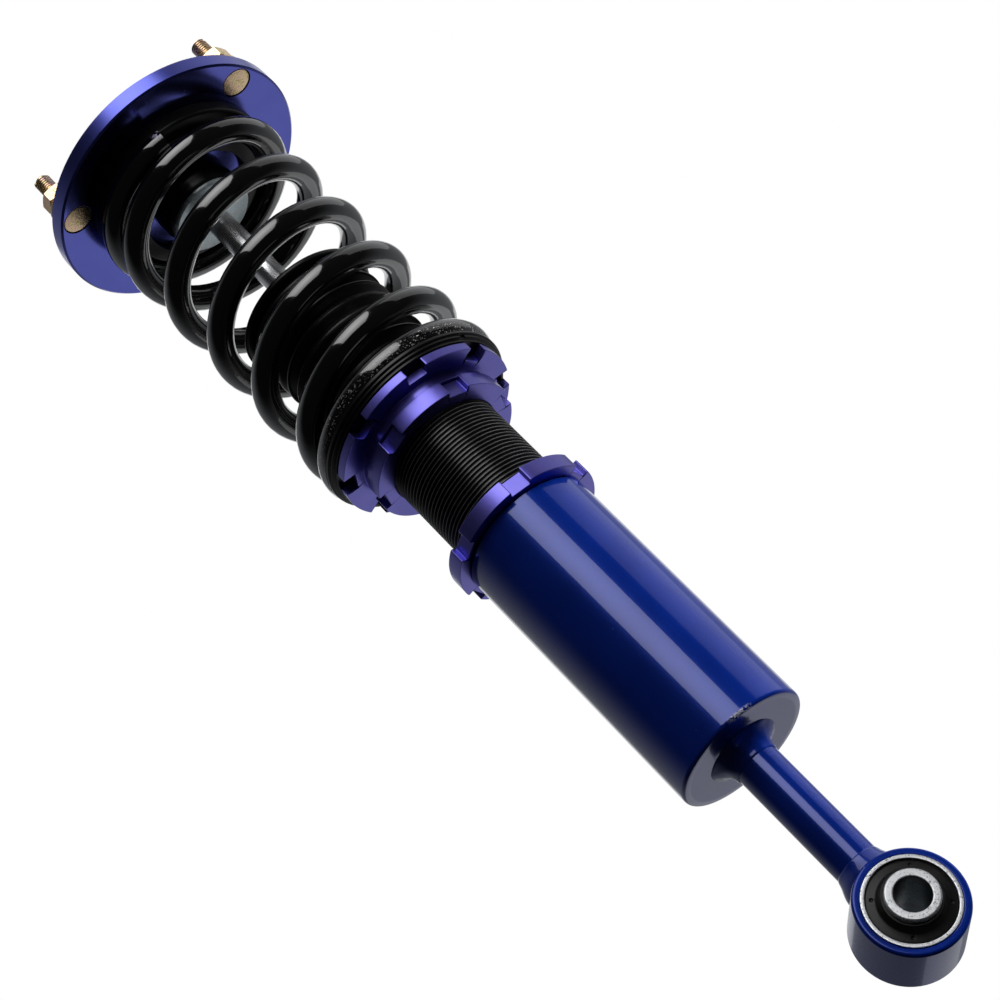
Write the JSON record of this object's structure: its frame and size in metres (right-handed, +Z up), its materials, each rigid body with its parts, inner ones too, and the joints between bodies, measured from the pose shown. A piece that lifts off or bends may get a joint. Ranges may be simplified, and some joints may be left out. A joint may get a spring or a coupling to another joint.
{
  "type": "coilover strut",
  "caption": "Adjustable coilover strut with a round studded top mount, coil spring, threaded damper body, spanner rings and a bushed lower eye on a bar.",
  "frame": {"origin": "centre of the lower eye's bore", "axes": "+Z up the strut's axis towards the top mount, Y along the lower eye's bore, +X completes a right-handed frame"},
  "size_m": [0.1254, 0.1254, 0.532],
  "materials": {
    "violet_anodised": "satin anodised",
    "blue_paint": "gloss",
    "black_coat": "gloss powder coat",
    "black_thread": "satin black, rubbed on the thread crests",
    "yellow_zinc": "yellow zinc plate",
    "clear_zinc": "clear zinc plate",
    "chrome": "polished",
    "black_rubber": "matte",
    "bright_steel": "turned",
    "sintered_iron": "sintered",
    "bronze": "turned",
    "plain_aluminium": "turned",
    "brown_plastic": "matte",
    "yellow_foam": "matte foam"
  },
  "bodies": {
    "top_mount": {"top_plate": "violet_anodised", "stud_bolts": "yellow_zinc", "stud_flat_washers": "yellow_zinc", "stud_lock_washers": "yellow_zinc", "stud_nuts": "yellow_zinc", "mount_bush": "black_rubber", "mount_sleeve": "bright_steel", "lower_washer": "clear_zinc", "upper_washer": "clear_zinc", "rod_nut": "clear_zinc", "upper_isolator": "black_rubber", "coil_spring": "black_coat", "piston_rod": "chrome", "rebound_stop": "brown_plastic", "rebound_shims": "bright_steel", "piston": "sintered_iron", "piston_band": "brown_plastic", "compression_shims": "bright_steel", "piston_nut": "bright_steel"},
    "spring_seat": {"lower_isolator": "black_rubber"},
    "perch": {"perch_ring": "violet_anodised"},
    "perch_lock": {"perch_lock_ring": "violet_anodised"},
    "damper_body": {"damper_tube": "black_thread", "gland_nut": "bright_steel", "rod_guide": "plain_aluminium", "guide_bush": "bronze", "rod_seal": "black_rubber", "bump_stop": "yellow_foam", "dust_boot": "black_rubber", "tube_end_cap": "bright_steel", "gas_plug": "bronze"},
    "float_piston": {"floating_piston": "plain_aluminium", "floating_oring": "black_rubber"},
    "bracket_lock": {"bracket_lock_ring": "violet_anodised"},
    "bracket": {"bracket_tube": "blue_paint", "bracket_end_disc": "blue_paint", "disc_weld": "blue_paint", "lower_bar": "blue_paint", "eye_weld": "blue_paint", "eye_ring": "blue_paint", "bush_outer_sleeve": "bright_steel", "bush_rubber": "black_rubber"},
    "bush_inner": {"bush_inner_sleeve": "bright_steel"}
  },
  "joints": [
    {"name": "damper_stroke", "type": "slide", "parent": "top_mount", "child": "spring_seat", "axis": [0, 0, 1], "range_m": [0, 0.052], "stiffness_N_per_m": 75000, "springref_m": -0.019, "deforming": ["coil_spring"]},
    {"name": "perch_turn", "type": "hinge", "parent": "spring_seat", "child": "perch", "pos_m": [0, 0, 0.292], "axis": [0, 0, 1], "range_deg": [-3240.5, 0]},
    {"name": "perch_lock_turn", "type": "hinge", "parent": "perch", "child": "perch_lock", "pos_m": [0, 0, 0.283], "axis": [0, 0, 1], "range_deg": [0, 60]},
    {"name": "tube_travel", "type": "slide", "parent": "spring_seat", "child": "damper_body", "axis": [0, 0, 1], "range_m": [0, 0.018]},
    {"name": "float_travel", "type": "slide", "parent": "damper_body", "child": "float_piston", "axis": [0, 0, 1], "range_m": [-0.0038, 0]},
    {"name": "bracket_travel", "type": "slide", "parent": "damper_body", "child": "bracket_lock", "axis": [0, 0, 1], "range_m": [-0.03, 0.02]},
    {"name": "bracket_turn", "type": "hinge", "parent": "bracket_lock", "child": "bracket", "pos_m": [0, 0, 0.2], "axis": [0, 0, 1], "range_deg": [-5400.5, 3600.5]},
    {"name": "bush_twist", "type": "hinge", "parent": "bracket", "child": "bush_inner", "pos_m": [0, 0, 0], "axis": [0, 1, 0], "range_deg": [-15, 15], "stiffness_Nm_per_rad": 30}
  ],
  "couplings": [
    {"joint": "perch_turn", "follows": "tube_travel", "rad_per_m": -3141.6},
    {"joint": "float_travel", "follows": "damper_stroke", "ratio": -0.071111},
    {"joint": "bracket_turn", "follows": "bracket_travel", "rad_per_m": 3141.6}
  ]
}
